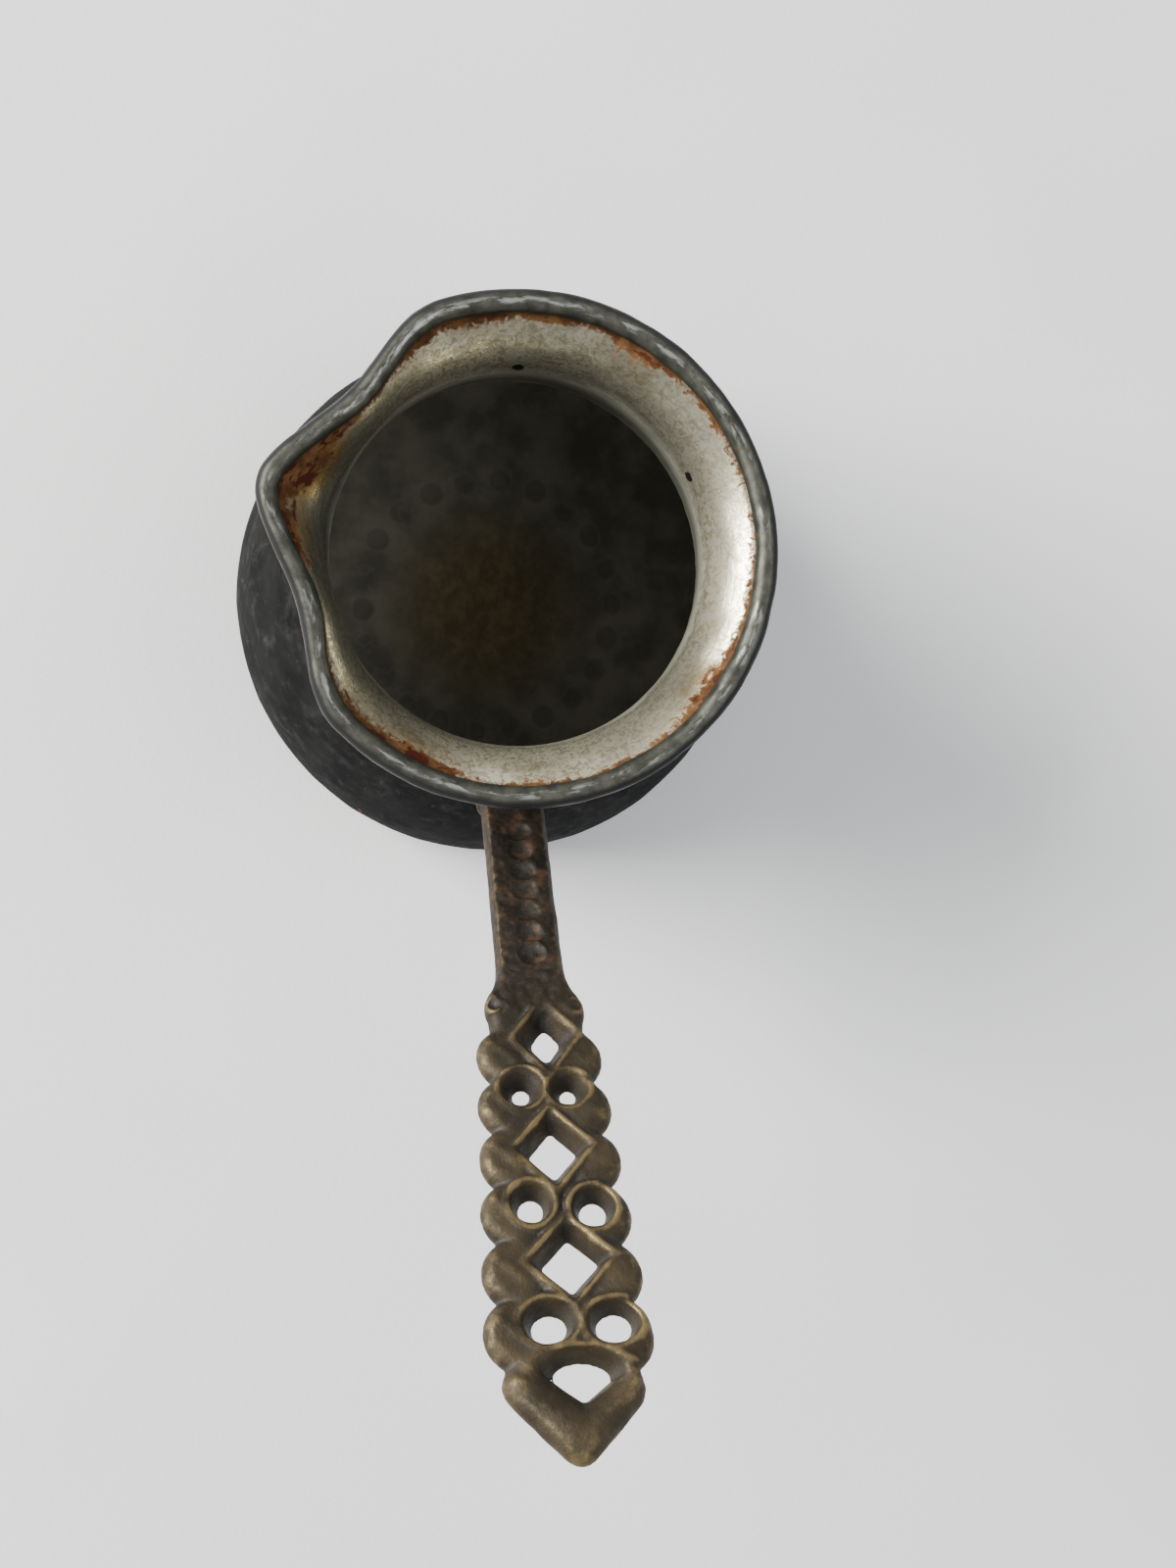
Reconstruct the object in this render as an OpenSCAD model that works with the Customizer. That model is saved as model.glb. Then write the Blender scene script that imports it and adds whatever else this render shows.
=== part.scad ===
// Cezve: a raised copper coffee pot with a pinched pouring lip and a pierced cast brass handle.
// The origin is the centre of the base's underside, +Z is up and the handle points along -Y.

/* [Pot] */
// Widest diameter, just above the base
belly_d = 100; // [84:1:122]
// Height from the base to the top of the rim
pot_h = 91; // [75:1:112]
// Inside diameter of the neck
neck_d = 59; // [49:1:62]
// Diameter over the rolled rim, away from the lip
rim_d = 78; // [74:0.5:92]
// Height of the flare, from the neck's narrowest point to the top of the rim
flare_h = 14; // [12:0.5:17]
// Thickness of the copper sheet
sheet_t = 1; // [0.8:0.1:1.3]
// Outside radius of the bend between base and wall
base_bend_r = 9; // [7:0.5:12]
// Share of the wall's height that bulges outward, below the hollow neck
bulge_share = 0.58; // [0.45:0.01:0.65]

/* [Rolled rim] */
// Diameter of the iron wire inside the roll
wire_d = 1.8; // [1.5:0.1:2.2]
// Thickness of the sheet where it is rolled
roll_t = 0.7; // [0.5:0.1:0.8]
// Gap between the wire and the roll
wire_gap = 0.05; // [0.05:0.01:0.1]

/* [Pouring lip] */
// Direction of the lip, anticlockwise from +X seen from above
lip_az = 164; // [120:1:180]
// How far the beak stands out past the round rim
lip_reach = 1.7; // [0:0.1:3]
// How far the rim is pinched in on each side of the beak
lip_pinch = 4.2; // [0:0.1:5]
// Angle from the beak to each pinch
lip_half_angle = 29; // [24:1:33]
// Half width of the beak's point, as an angle
beak_angle = 9; // [7:1:12]

/* [Floor marks] */
// Number of punch marks in the ring on the floor
mark_count = 22; // [12:1:26]
// Radius of the ring of marks
mark_ring_r = 25.8; // [20:0.1:30]
// Diameter of one mark
mark_d = 5.2; // [4:0.1:5.5]
// Depth of one mark
mark_depth = 0.4; // [0.2:0.1:0.5]

/* [Handle] */
// Distance of the stem's upper root below the neck's narrowest point
root_drop = 15.4; // [14:0.1:20]
// Angle of the handle above the horizontal
rise = 43; // [35:1:50]
// Sideways offset of the handle from the pot's axis
stem_shift = -1.4; // [-2:0.1:2]
// Length from the root to the tip, along the handle
handle_len = 114; // [100:1:135]
// Greatest width of the stem
stem_w = 10.9; // [9:0.1:13]
// Width of the stem's top face
stem_top_w = 8.7; // [7:0.1:8.8]
// Thickness of the stem
stem_t = 5.4; // [4.5:0.1:6.5]
// Diameter of the punched dimples in a row along the stem
dimple_d = 4.3; // [3.5:0.1:5]
// Depth of the dimples
dimple_depth = 0.55; // [0.3:0.05:0.8]
// Number of dimples
dimple_count = 7; // [3:1:7]
// Distance from one dimple to the next
dimple_pitch = 4.05; // [3.6:0.05:4.5]
// Distance from the root to the first dimple
dimple_start = 14.4; // [12:0.1:16]
// Sideways offset of the row of dimples
dimple_shift = 0.5; // [-0.6:0.1:0.6]

/* [Pierced end] */
// Spacing of the scallops along the handle
lobe_pitch = 8.3; // [7.5:0.1:9.5]
// Radius of one scallop
lobe_r = 5.2; // [4.6:0.1:5.8]
// Half width over the first pair of full scallops
lobe_half_w = 9.2; // [8.5:0.1:11]
// Growth of the half width from one pair to the next
lobe_grow = 0.38; // [0:0.01:0.5]
// Thickness of the casting, over its ridges
plate_t = 3.8; // [3.2:0.1:4.8]
// Height of the ridges around the openings
ridge_h = 0.5; // [0.3:0.1:0.8]
// Width of the ridges
ridge_w = 0.8; // [0.6:0.1:1]
// How much narrower the openings are at the back than at the front, on each side
draft = 1.2; // [0.8:0.1:1.4]
// Sideways offset of the openings, as the old pattern had it
pierced_shift = 0.8; // [0:0.1:1]
// Advance of the right side over the left, per unit of width
pattern_skew = 0.08; // [0:0.01:0.1]

/* [Palm and rivets] */
// Thickness of the palm that lies on the wall
palm_t = 2.4; // [2:0.1:3]
// Sideways distance of the two upper rivets from the palm's middle
rivet_x = 10.5; // [9.5:0.1:12]
// Distance of the upper rivets below the neck's narrowest point
upper_rivet_drop = 12; // [10:0.5:14]
// Distance of the lower rivet below the neck's narrowest point
lower_rivet_drop = 27; // [25:0.5:30]
// Diameter of the rivets
rivet_d = 3.2; // [2.6:0.1:3.9]
// Diameter of the rivets' heads
rivet_head_d = 6.2; // [5.6:0.1:7]
// Height of the domed heads outside
rivet_head_h = 1.7; // [1.2:0.1:2]
// Height of the flattened heads inside the pot
rivet_tail_h = 0.8; // [0.5:0.1:1]
// Gap between a rivet and its hole
rivet_gap = 0.05; // [0.02:0.01:0.1]
// Metal left around each rivet in the palm
palm_margin = 2.2; // [1.8:0.1:3]

/* [Hidden] */
$fn = 96;
over = 1;                      // how far a cutter runs past the face that it cuts
skim = 0.1;                    // the same for a cutter whose sides slope
sink = 0.2;                    // how far a raised piece runs into the metal under it

// The wall is one ogee: an outward bulge and a hollow neck that meet on a common tangent.
belly_r = belly_d / 2;
neck_r = neck_d / 2;
neck_out_r = neck_r + sheet_t;
neck_z = pot_h - flare_h;
ogee_angle = 2 * atan((belly_r - neck_out_r) / (neck_z - base_bend_r));
ogee_sum_r = (neck_z - base_bend_r) / sin(ogee_angle);
bulge_r = ogee_sum_r * bulge_share;
hollow_r = ogee_sum_r - bulge_r;
bulge_centre = [belly_r - bulge_r, base_bend_r];
hollow_centre = [neck_out_r + hollow_r, neck_z];
ogee_z = base_bend_r + bulge_r * sin(ogee_angle);
wall_steps = 10;

// Points on an arc, from angle a to angle b, in count steps
function arc(centre, r, a, b, count) =
    [for (i = [0:count]) centre + r * [cos(a + (b - a) * i / count), sin(a + (b - a) * i / count)]];

// The wall's profile from the base to the neck, moved outward by off
function wall_points(off) = concat(
    arc([belly_r - base_bend_r, base_bend_r], base_bend_r + off, -90, 0, wall_steps),
    arc(bulge_centre, bulge_r + off, ogee_angle / wall_steps, ogee_angle, wall_steps - 1),
    arc(hollow_centre, hollow_r - off, 180 + ogee_angle * (1 - 1 / wall_steps), 180, wall_steps - 1));

// Radius and slope of the same wall at height z, above the base's bend
function wall_r(z, off) = z < ogee_z
    ? bulge_centre[0] + sqrt(pow(bulge_r + off, 2) - pow(z - base_bend_r, 2))
    : hollow_centre[0] - sqrt(pow(hollow_r - off, 2) - pow(neck_z - z, 2));
function wall_slope(z) = z < ogee_z
    ? asin((z - base_bend_r) / bulge_r)
    : asin((neck_z - z) / hollow_r);

// The rolled rim: a tube of sheet around the wire, which the flare runs into at the crease.
roll_inner_r = wire_d / 2 + wire_gap;
roll_outer_r = roll_inner_r + roll_t;
roll_centre = [rim_d / 2 - roll_outer_r, pot_h - roll_outer_r];
crease_angle = 205;            // where the flare meets the roll
crease_blend = 25;             // how far past the crease the roll's outer face starts
raw_edge_angle = -95;          // where the rolled sheet ends, under the wire
crease = roll_centre + roll_outer_r * [cos(crease_angle), sin(crease_angle)];
flare_angle = 2 * atan((crease[0] - neck_r) / (crease[1] - neck_z));
flare_r = (crease[1] - neck_z) / sin(flare_angle);
flare_centre = [neck_r + flare_r, neck_z];
seam_inset = 0.06;             // how far the flare's faces sit inside the round wall's, where they join
ring_steps = 72;
flare_steps = 6;
roll_steps = 9;
wire_sides = 10;

lip_fade = 1.5;                // how quickly the lip's move fades down the flare

// The rim's move in or out at azimuth az: two pinches and the beak between them
function lip_turn(az) = ((az - lip_az + 540) % 360) - 180;
function lip_move(az) = abs(lip_turn(az)) > 2 * lip_half_angle ? 0
    : -lip_pinch * (1 - cos(180 * lip_turn(az) / lip_half_angle)) / 2
      + lip_reach * exp(-pow(lip_turn(az) / beak_angle, 2));

// The section of the flare and the roll, each point with the share of the lip's move it takes
function lip_share(z) = pow(min(1, max(0, (z - neck_z) / (crease[1] - neck_z))), lip_fade);
function with_share(points) = [for (p = points) [p[0], p[1], lip_share(p[1])]];
function full_share(points) = [for (p = points) [p[0], p[1], 1]];
flare_section = concat(
    with_share(arc(flare_centre, flare_r - seam_inset, 180, 180 - flare_angle, flare_steps)),
    full_share(arc(roll_centre, roll_outer_r, crease_angle - crease_blend, raw_edge_angle, roll_steps)),
    full_share(arc(roll_centre, roll_inner_r, raw_edge_angle, crease_angle, roll_steps)),
    with_share(arc(flare_centre, flare_r - sheet_t + seam_inset, 180 - flare_angle, 180, flare_steps)));
wire_section = full_share(arc(roll_centre, wire_d / 2, 0, 360 * (1 - 1 / wire_sides), wire_sides - 1));

// A ring whose section follows the lip's move all the way round
module lip_ring(section) {
    count = len(section);
    points = [for (i = [0:ring_steps - 1])
        let (az = 360 * i / ring_steps, move = lip_move(az))
        for (p = section)
            [(p[0] + move * p[2]) * cos(az), (p[0] + move * p[2]) * sin(az), p[1]]];
    faces = [for (i = [0:ring_steps - 1])
        let (here = i * count, next = ((i + 1) % ring_steps) * count)
        for (j = [0:count - 1])
        let (k = (j + 1) % count)
        for (face = [[here + j, next + j, next + k], [here + j, next + k, here + k]])
            face];
    polyhedron(points, faces, convexity = 6);
}

// The solid inside the wall's outer face, moved outward by off: it trims what seats on the wall
module wall_core(off) {
    rotate_extrude()
        polygon(concat([[0, -off]], wall_points(off), [[0, neck_z]]));
}

// Places a rivet's axis square to the wall, pointing outward, with its zero on the outer face
module on_wall(x, drop) {
    z = neck_z - drop;
    r = wall_r(z, 0);
    rotate([0, 0, -90 + asin(x / r)])
        translate([r, 0, z])
            rotate([0, 90 - wall_slope(z), 0])
                children();
}

module each_rivet() {
    on_wall(-rivet_x, upper_rivet_drop) children();
    on_wall(rivet_x, upper_rivet_drop) children();
    on_wall(stem_shift, lower_rivet_drop) children();
}

module rivet_hole() {
    translate([0, 0, -sheet_t - over])
        cylinder(h = sheet_t + palm_t + 2 * over, d = rivet_d + 2 * rivet_gap);
}

// ---- pot shell ----

module floor_marks() {
    mark_sphere_r = (pow(mark_d / 2, 2) + pow(mark_depth, 2)) / (2 * mark_depth);
    for (i = [0:mark_count - 1])
        rotate([0, 0, 360 * i / mark_count])
            translate([mark_ring_r, 0, sheet_t - mark_depth + mark_sphere_r])
                sphere(r = mark_sphere_r);
}

module raised_wall() {
    inner = wall_points(-sheet_t);
    outer = wall_points(0);
    last = len(inner) - 1;
    rotate_extrude()
        polygon(concat([[0, 0]], outer, [for (i = [last:-1:0]) inner[i]], [[0, sheet_t]]));
}

module pot_shell() {
    color([0.33, 0.32, 0.31])
        union() {
            difference() {
                raised_wall();
                floor_marks();
                each_rivet() rivet_hole();
            }
            lip_ring(flare_section);
        }
}

// ---- rim wire ----

module rim_wire() {
    color([0.25, 0.22, 0.2])
        lip_ring(wire_section);
}

// ---- handle ----

root_z = neck_z - root_drop;
root_r = wall_r(root_z, 0);
tip_fillet = 2.6;              // radius of the arrow's point
tip_cut = 1.1;                 // length that this radius takes off the sharp point
corner_fillet = 3;             // radius of the arrow's two shoulders
end_len = 9.5;                 // from the arrow's shoulders to its point
end_half_w = 10.3;             // half width over the arrow's shoulders, before rounding
shoulder_u = handle_len - end_len;
lobe_pairs = 6;
last_lobe_u = shoulder_u - 6.8; // the last pair runs into the arrow's shoulders
first_lobe_u = last_lobe_u - (lobe_pairs - 1) * lobe_pitch;
boss_lobe_u = first_lobe_u - lobe_pitch;
boss_lobe_r = 4.2;
boss_half_w = 7.5;
web_half_w = 6.8;              // half width of the web that joins the scallops
stem_widest = 0.45;            // depth of the stem's greatest width, as a share of its thickness

// Local frame of the handle: x sideways, y along it from the root, z out of its top face
module along_handle() {
    translate([stem_shift, -root_r, root_z])
        rotate([rise, 0, 180])
            mirror([1, 0, 0])
                children();
}

function skewed(x, u) = [x, u + pattern_skew * x];
function half_w(i) = lobe_half_w + lobe_grow * i;
function lobe_u(i) = first_lobe_u + lobe_pitch * i;

module scalloped_outline() {
    for (i = [0:lobe_pairs - 1], side = [-1, 1])
        translate(skewed(side * (half_w(i) - lobe_r), lobe_u(i)))
            circle(r = lobe_r);
    for (side = [-1, 1])
        translate(skewed(side * (boss_half_w - boss_lobe_r), boss_lobe_u))
            circle(r = boss_lobe_r);
    polygon([[-stem_w / 2, boss_lobe_u - lobe_pitch / 2], [stem_w / 2, boss_lobe_u - lobe_pitch / 2],
             skewed(web_half_w, first_lobe_u), skewed(web_half_w + lobe_grow * lobe_pairs, shoulder_u),
             skewed(-web_half_w - lobe_grow * lobe_pairs, shoulder_u), skewed(-web_half_w, first_lobe_u)]);
    arrow_outline();
}

// Fillet of radius r on the corner b of the path a, b, c
function unit(v) = v / norm(v);
function fillet(a, b, c, r, count) =
    let (p = unit(a - b), q = unit(c - b), half = acos(p * q) / 2,
         centre = b + unit(p + q) * r / sin(half),
         start = b + p * r / tan(half) - centre,
         turn = sign(p[0] * q[1] - p[1] * q[0]) * -(180 - 2 * half))
    [for (i = [0:count])
        let (t = turn * i / count)
        centre + [start[0] * cos(t) - start[1] * sin(t), start[0] * sin(t) + start[1] * cos(t)]];

module arrow_outline() {
    left = skewed(-end_half_w, shoulder_u);
    right = skewed(end_half_w, shoulder_u);
    tip = [0, handle_len + tip_cut];
    waist_u = shoulder_u - end_len / 2;
    left_waist = skewed(-web_half_w, waist_u);
    right_waist = skewed(web_half_w, waist_u);
    polygon(concat([left_waist, right_waist],
        fillet(right_waist, right, tip, corner_fillet, 6),
        fillet(right, tip, left, tip_fillet, 8),
        fillet(tip, left, left_waist, corner_fillet, 6)));
}

// The openings: each is [x, u, front half size]; diamonds measure to their corners
first_row_u = boss_lobe_u + 5.3;
row_pitch = 8.6;               // rows of one diamond and rows of two rounds take turns
row_u = [for (i = [0:5]) first_row_u + i * row_pitch];
diamond_x = [0.3, 0, 0.3];
diamond_half = [4.6, 5.2, 5.4];
diamond_advance = [0, 0.9, 0]; // the middle diamond sits a little nearer to the tip
diamonds = [for (i = [0:2]) [diamond_x[i], row_u[2 * i] + diamond_advance[i], diamond_half[i]]];
round_x = [3.3, 4.2, 4.3];
round_r = [2.95, 2.95, 3.3];
rounds = [for (i = [0:2], side = [-1, 1])
    concat(skewed(side * round_x[i], row_u[2 * i + 1]), [round_r[i]])];
bow_u = shoulder_u - 1.5;
bow_half_w = 5.9;
bow_rise = 3.1;                // from the bow's shoulders up to its arched side
bow_point = 4.6;               // from the shoulders down to its point
bow_steps = 12;
point_growth = 1.3;            // the sharp point moves this much more than the sides

// The small raised ring on each scallop beside the stem
boss_x = 5.6;
boss_ring_r = 1.5;
boss_pit_r = 0.7;

// Outline of the last opening, a bow with an arch towards the pot and a point towards the tip
function bow(grow) = concat(
    [for (i = [0:bow_steps]) let (t = 180 * i / bow_steps)
        [(bow_half_w + grow) * cos(t), -(bow_rise + grow) * sin(t)]],
    [[0, bow_point + grow * point_growth]]);

module ridges() {
    translate([pierced_shift, 0, -ridge_h - sink]) {
        for (d = diamonds)
            translate([d[0], d[1], 0])
                cylinder(h = ridge_h + sink, r = d[2] + ridge_w * sqrt(2), $fn = 4);
        for (o = rounds)
            translate([o[0], o[1], 0])
                cylinder(h = ridge_h + sink, r = o[2] + ridge_w);
        translate([0, bow_u, 0])
            linear_extrude(ridge_h + sink)
                polygon(bow(ridge_w));
    }
}

// Tapered openings; the bow narrows in one step, half way through
module openings() {
    depth = plate_t + 2 * skim;
    spread = draft * skim / plate_t;
    translate([pierced_shift, 0, -plate_t - skim]) {
        for (d = diamonds)
            translate([d[0], d[1], 0])
                cylinder(h = depth, r1 = d[2] - draft * sqrt(2), r2 = d[2] + spread * sqrt(2), $fn = 4);
        for (o = rounds)
            translate([o[0], o[1], 0])
                cylinder(h = depth, r1 = o[2] - draft, r2 = o[2] + spread);
        translate([0, bow_u, 0])
            linear_extrude(depth)
                polygon(bow(-draft));
        translate([0, bow_u, depth / 2])
            linear_extrude(depth)
                polygon(bow(0));
    }
}

module stem() {
    widest = -stem_t * stem_widest;
    rotate([90, 0, 180])
        linear_extrude(boss_lobe_u + over)
            polygon([[-stem_top_w / 2, 0], [stem_top_w / 2, 0], [stem_w / 2, widest],
                     [stem_top_w / 2, -stem_t], [-stem_top_w / 2, -stem_t], [-stem_w / 2, widest]]);
}

module palm() {
    upper_z = neck_z - upper_rivet_drop;
    lower_z = neck_z - lower_rivet_drop;
    pad_r = rivet_head_d / 2 + palm_margin;
    intersection() {
        difference() {
            wall_core(palm_t);
            wall_core(0);
        }
        rotate([90, 0, 0])
            linear_extrude(belly_r + palm_t)
                union() {
                    for (side = [-1, 1])
                        translate([side * rivet_x, upper_z])
                            circle(r = pad_r);
                    translate([stem_shift, lower_z])
                        circle(r = pad_r);
                    polygon([[-rivet_x, upper_z + pad_r], [-rivet_x, upper_z - pad_r],
                             [stem_shift - pad_r, lower_z], [stem_shift + pad_r, lower_z],
                             [rivet_x, upper_z - pad_r], [rivet_x, upper_z + pad_r]]);
                }
    }
}

module stem_dimples() {
    dimple_sphere_r = (pow(dimple_d / 2, 2) + pow(dimple_depth, 2)) / (2 * dimple_depth);
    for (i = [0:dimple_count - 1])
        translate([dimple_shift, dimple_start + dimple_pitch * i, dimple_sphere_r - dimple_depth])
            sphere(r = dimple_sphere_r);
}

module boss_rings() {
    for (side = [-1, 1])
        translate(concat(skewed(side * boss_x, boss_lobe_u), [-ridge_h - sink]))
            difference() {
                cylinder(h = ridge_h + sink, r = boss_ring_r);
                translate([0, 0, sink])
                    cylinder(h = ridge_h + over, r = boss_pit_r);
            }
}

module handle() {
    color([0.42, 0.34, 0.2])
        difference() {
            union() {
                palm();
                along_handle()
                    difference() {
                        union() {
                            translate([0, -2 * palm_t, 0])
                                stem();
                            translate([0, 0, -plate_t])
                                linear_extrude(plate_t - ridge_h)
                                    scalloped_outline();
                            ridges();
                            boss_rings();
                        }
                        openings();
                        stem_dimples();
                    }
            }
            wall_core(0);
            each_rivet() rivet_hole();
        }
}

// ---- rivets ----

module handle_rivets() {
    dome_r = (pow(rivet_head_d / 2, 2) + pow(rivet_head_h, 2)) / (2 * rivet_head_h);
    tail_r = (pow(rivet_head_d / 2, 2) + pow(rivet_tail_h, 2)) / (2 * rivet_tail_h);
    color([0.5, 0.3, 0.2])
        union() {
            each_rivet()
                translate([0, 0, -sheet_t - rivet_tail_h / 2])
                    cylinder(h = sheet_t + palm_t + rivet_tail_h, d = rivet_d);
            difference() {
                each_rivet()
                    translate([0, 0, palm_t + rivet_head_h - dome_r])
                        intersection() {
                            sphere(r = dome_r);
                            cylinder(h = 2 * dome_r, d = rivet_head_d);
                        }
                wall_core(palm_t);
            }
            intersection() {
                each_rivet()
                    translate([0, 0, -sheet_t - rivet_tail_h + tail_r])
                        intersection() {
                            sphere(r = tail_r);
                            translate([0, 0, -2 * tail_r])
                                cylinder(h = 2 * tail_r, d = rivet_head_d);
                        }
                wall_core(-sheet_t);
            }
        }
}

pot_shell();
rim_wire();
handle();
handle_rivets();
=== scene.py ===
"""A cezve: a raised, tinned copper pot with a rolled rim and a pierced cast brass handle."""

import math
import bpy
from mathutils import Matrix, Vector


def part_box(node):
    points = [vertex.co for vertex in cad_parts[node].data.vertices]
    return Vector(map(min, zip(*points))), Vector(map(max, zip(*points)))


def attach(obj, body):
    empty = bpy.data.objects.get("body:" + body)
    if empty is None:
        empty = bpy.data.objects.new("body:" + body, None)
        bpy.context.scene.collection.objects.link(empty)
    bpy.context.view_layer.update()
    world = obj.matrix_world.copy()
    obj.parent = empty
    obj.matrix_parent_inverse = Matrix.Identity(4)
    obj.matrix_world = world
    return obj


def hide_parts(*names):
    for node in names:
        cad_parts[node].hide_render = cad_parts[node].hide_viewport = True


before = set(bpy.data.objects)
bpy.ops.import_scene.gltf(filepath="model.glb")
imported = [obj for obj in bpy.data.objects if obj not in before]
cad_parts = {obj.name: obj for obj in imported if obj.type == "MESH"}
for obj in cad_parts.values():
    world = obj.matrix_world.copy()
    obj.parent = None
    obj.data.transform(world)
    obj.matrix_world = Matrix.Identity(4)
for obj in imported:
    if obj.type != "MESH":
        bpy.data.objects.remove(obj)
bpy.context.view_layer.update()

from types import SimpleNamespace

import bpy
import numpy as np
from mathutils import Matrix, Vector

# Lengths are in millimetres until a mesh is made. Azimuths run anticlockwise from +X, seen from above.
MM = 0.001
SHELL_HIGH = np.array(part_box("pot_shell")[1]) / MM

# ---- sizes of the pot ----
INSIDE_BOX = 0.03  # keeps the widest ring of the pot within the CAD box
BELLY_R = SHELL_HIGH[1] - INSIDE_BOX
POT_H = SHELL_HIGH[2]
NECK_R = 29.5  # inside
RIM_R = 39.0
FLARE_H = 14.0
SHEET = 1.0
BEND_R = 9.0
BULGE_SHARE = 0.58
ROLL_INNER_R = 0.95
ROLL_OUTER_R = 1.65
CREASE_ANGLE = 205.0  # where the flare meets the roll, on the roll's circle
RAW_EDGE_ANGLE = -95.0  # where the rolled sheet ends, on the same circle
RING_STEPS = 440
POLE_R = 0.8  # the floor and the base close on a point inside this ring
INSIDE, ROLL, OUTSIDE = 0, 1, 2

LIP_AZ = 164.0
LIP_REACH = 1.7
LIP_PINCH = 4.2
LIP_HALF_ANGLE = 29.0
BEAK_ANGLE = 9.0
LIP_FADE = 1.5
LIP_STAIN_AND_SHADE_ANGLE = 48

MARK_COUNT = 22
MARK_RING_R = 25.8
MARK_R = 2.6
MARK_DEPTH = 0.4
MARK_WANDER = 0.7

FACET_DEPTH = 0.28
FINE_FACET_DEPTH = 0.07
PLANISH_DEPTH = 0.1
RIPPLE_DEPTH = 0.22
RIPPLES_FADE_IN = (54, 60)
RIPPLES_FADE_OUT = (76, 70)

# ---- sizes of the handle ----
HANDLE_LEN = 114.0
RISE = math.radians(43)
STEM_SHIFT = -1.4
ROOT_DROP = 15.4
PLATE_T = 3.8
STEM_T = 5.4
STEM_HALF_W = 5.45
STEM_TOP_HALF_W = 4.35
PALM_T = 2.4
RIVET_X = 10.5
RIVET_DROPS = (12.0, 27.0)
PALM_PAD_R = 5.3
PALM_REACH_U = 10.0  # a block of the lattice that starts past this has no palm

NECK_Z = POT_H - FLARE_H
NECK_OUT_R = NECK_R + SHEET
OGEE_ANGLE = 2 * math.atan((BELLY_R - NECK_OUT_R) / (NECK_Z - BEND_R))
OGEE_SUM_R = (NECK_Z - BEND_R) / math.sin(OGEE_ANGLE)
BULGE_R = OGEE_SUM_R * BULGE_SHARE
HOLLOW_R = OGEE_SUM_R - BULGE_R
BULGE_CENTRE = np.array([BELLY_R - BULGE_R, BEND_R])
HOLLOW_CENTRE = np.array([NECK_OUT_R + HOLLOW_R, NECK_Z])
OGEE_Z = BEND_R + BULGE_R * math.sin(OGEE_ANGLE)
ROLL_CENTRE = np.array([RIM_R - ROLL_OUTER_R, POT_H - ROLL_OUTER_R])


def on_circle(centre, radius, degrees):
    """Points on a circle in the (radius, height) plane."""
    turn = np.radians(np.asarray(degrees, float))
    return np.stack([centre[0] + radius * np.cos(turn), centre[1] + radius * np.sin(turn)], -1)


CREASE = on_circle(ROLL_CENTRE, ROLL_OUTER_R, CREASE_ANGLE)
FLARE_ANGLE = 2 * math.degrees(math.atan((CREASE[0] - NECK_R) / (CREASE[1] - NECK_Z)))
FLARE_R = (CREASE[1] - NECK_Z) / math.sin(math.radians(FLARE_ANGLE))
FLARE_CENTRE = np.array([NECK_R + FLARE_R, NECK_Z])


# ---- repeatable noise ----
def lattice_random(ix, iy, iz, seed):
    """A repeatable number from 0 to 1 for each whole-number place."""
    mixed = (ix * 73856093) ^ (iy * 19349663) ^ (iz * 83492791) ^ (seed * 265443576)
    mixed = (mixed ^ (mixed >> 13)) * 1274126177
    return ((mixed ^ (mixed >> 16)) & 0xFFFF) / 65535.0


def smooth_noise(points, size, seed):
    """Smooth noise from -1 to 1 at points, with lumps of about the given size."""
    place = points / size
    whole = np.floor(place).astype(np.int64)
    part = place - whole
    part = part * part * (3 - 2 * part)
    total = np.zeros(len(points))
    for dx in (0, 1):
        for dy in (0, 1):
            for dz in (0, 1):
                weight = (
                    np.where(dx, part[:, 0], 1 - part[:, 0])
                    * np.where(dy, part[:, 1], 1 - part[:, 1])
                    * np.where(dz, part[:, 2], 1 - part[:, 2])
                )
                total += weight * lattice_random(whole[:, 0] + dx, whole[:, 1] + dy, whole[:, 2] + dz, seed)
    return 2 * total - 1


def hammer_dishes(turn, height, columns, row_h, seed, shift=0.0, jitter=0.7):
    """Depth from 0 to 1 of overlapping hammer marks, in columns round the pot and rows of height row_h."""
    across, along = turn * columns, height / row_h + shift
    cell_a, cell_b = np.floor(across).astype(np.int64), np.floor(along).astype(np.int64)
    nearest = np.full(across.shape, 9.0)
    for da in (-1, 0, 1):
        for db in (-1, 0, 1):
            a, b = cell_a + da, cell_b + db
            wrapped = a % columns
            offset_a = 0.5 + jitter * (lattice_random(wrapped, b, b * 0, seed) - 0.5)
            offset_b = 0.5 + jitter * (lattice_random(wrapped, b, b * 0, seed + 1) - 0.5)
            distance = (a + offset_a - across) ** 2 + (b + offset_b - along) ** 2
            nearest = np.minimum(nearest, distance)
    return np.clip(1 - nearest, 0, 1)


def ramp(value, low, high):
    """Smooth step from 0 at low to 1 at high; low may be the larger."""
    t = np.clip((value - low) / (high - low), 0, 1)
    return t * t * (3 - 2 * t)


# ---- making meshes ----
def mesh_object(name, points, faces, attributes, material):
    """A smooth-shaded mesh from points in millimetres, with one float attribute per name given."""
    mesh = bpy.data.meshes.new(name)
    mesh.from_pydata((points * MM).tolist(), [], faces.tolist())
    mesh.update()
    for key, values in attributes.items():
        layer = mesh.attributes.new(key, "FLOAT", "POINT")
        layer.data.foreach_set("value", np.ascontiguousarray(values, np.float32))
    mesh.polygons.foreach_set("use_smooth", np.ones(len(faces), bool))
    mesh.materials.append(material)
    piece = bpy.data.objects.new(name, mesh)
    bpy.context.scene.collection.objects.link(piece)
    return piece


# ---- the pot ----
def lip_turn(azimuth):
    return (azimuth - LIP_AZ + 540) % 360 - 180


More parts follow.
